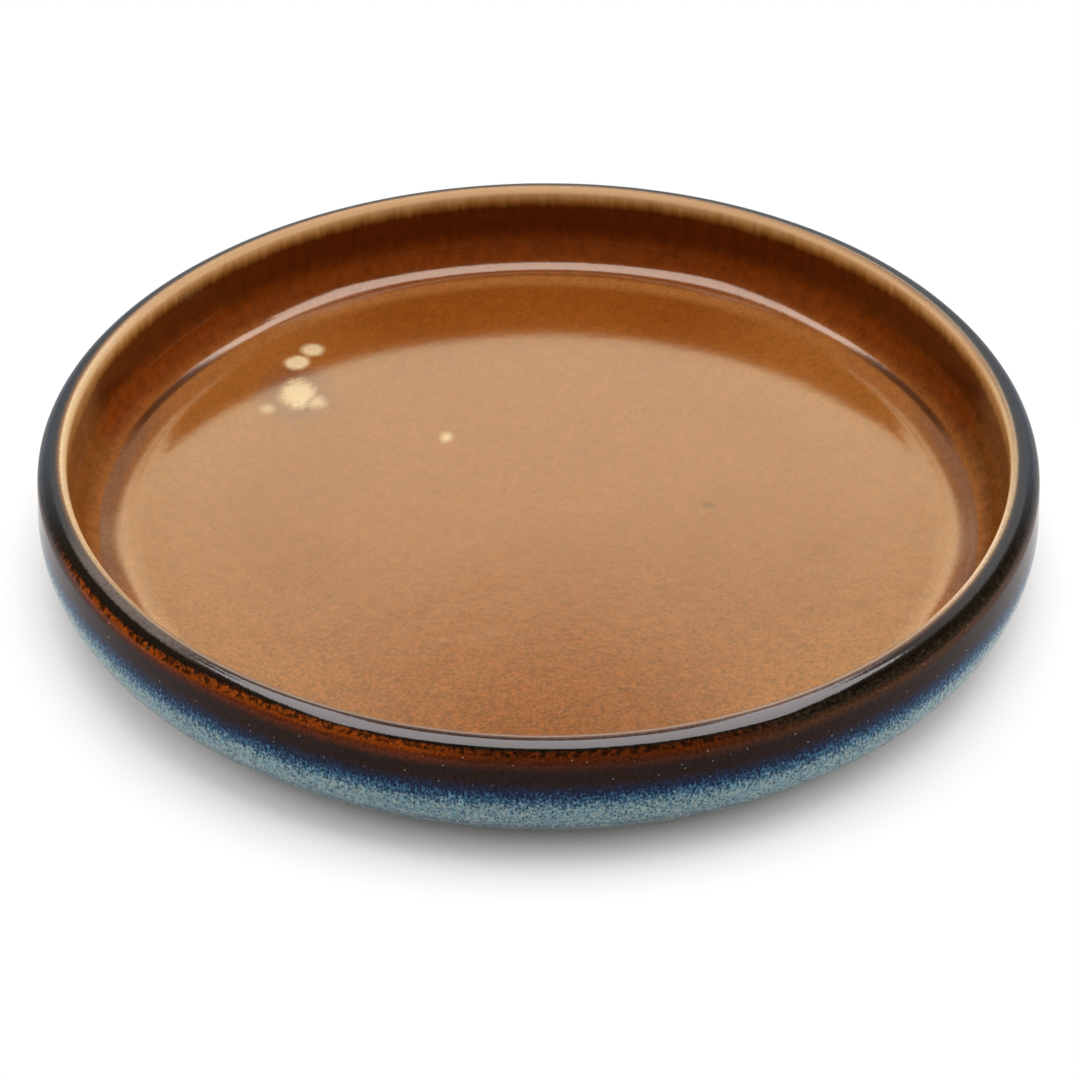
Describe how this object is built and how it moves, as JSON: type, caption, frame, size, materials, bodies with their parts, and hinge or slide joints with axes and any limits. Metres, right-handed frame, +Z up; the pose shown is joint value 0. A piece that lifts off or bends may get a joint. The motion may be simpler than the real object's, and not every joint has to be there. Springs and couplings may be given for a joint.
{
  "type": "plant saucer",
  "caption": "Round glazed stoneware plant saucer with a flat well, upright wall, rounded lip and bare foot ring; it stands under a pot and holds its drained water.",
  "frame": {"origin": "centre of the foot ring, on the surface that the saucer stands on", "axes": "+Z up along the saucer's axis of turning; +X to the right and +Y away from the viewer as pictured"},
  "size_m": [0.18, 0.18, 0.0236],
  "materials": {
    "fired_clay": "bare fired stoneware, fine and dry",
    "amber_glaze": "glossy amber glaze that breaks pale on the lip's inner edge",
    "slate_glaze": "glossy slate-dark glaze, patchy with amber",
    "iron_glaze": "glossy iron-brown glaze",
    "blue_glaze": "glossy mottled blue glaze, dark at its upper edge and pale with specks below",
    "underside_amber_glaze": "glossy amber glaze, thinner and plainer than in the well"
  },
  "bodies": {
    "root": {"clay_body": "fired_clay", "well_glaze": "amber_glaze", "lip_glaze": "slate_glaze", "iron_band_glaze": "iron_glaze", "blue_wall_glaze": "blue_glaze", "underside_glaze": "underside_amber_glaze"}
  },
  "joints": []
}
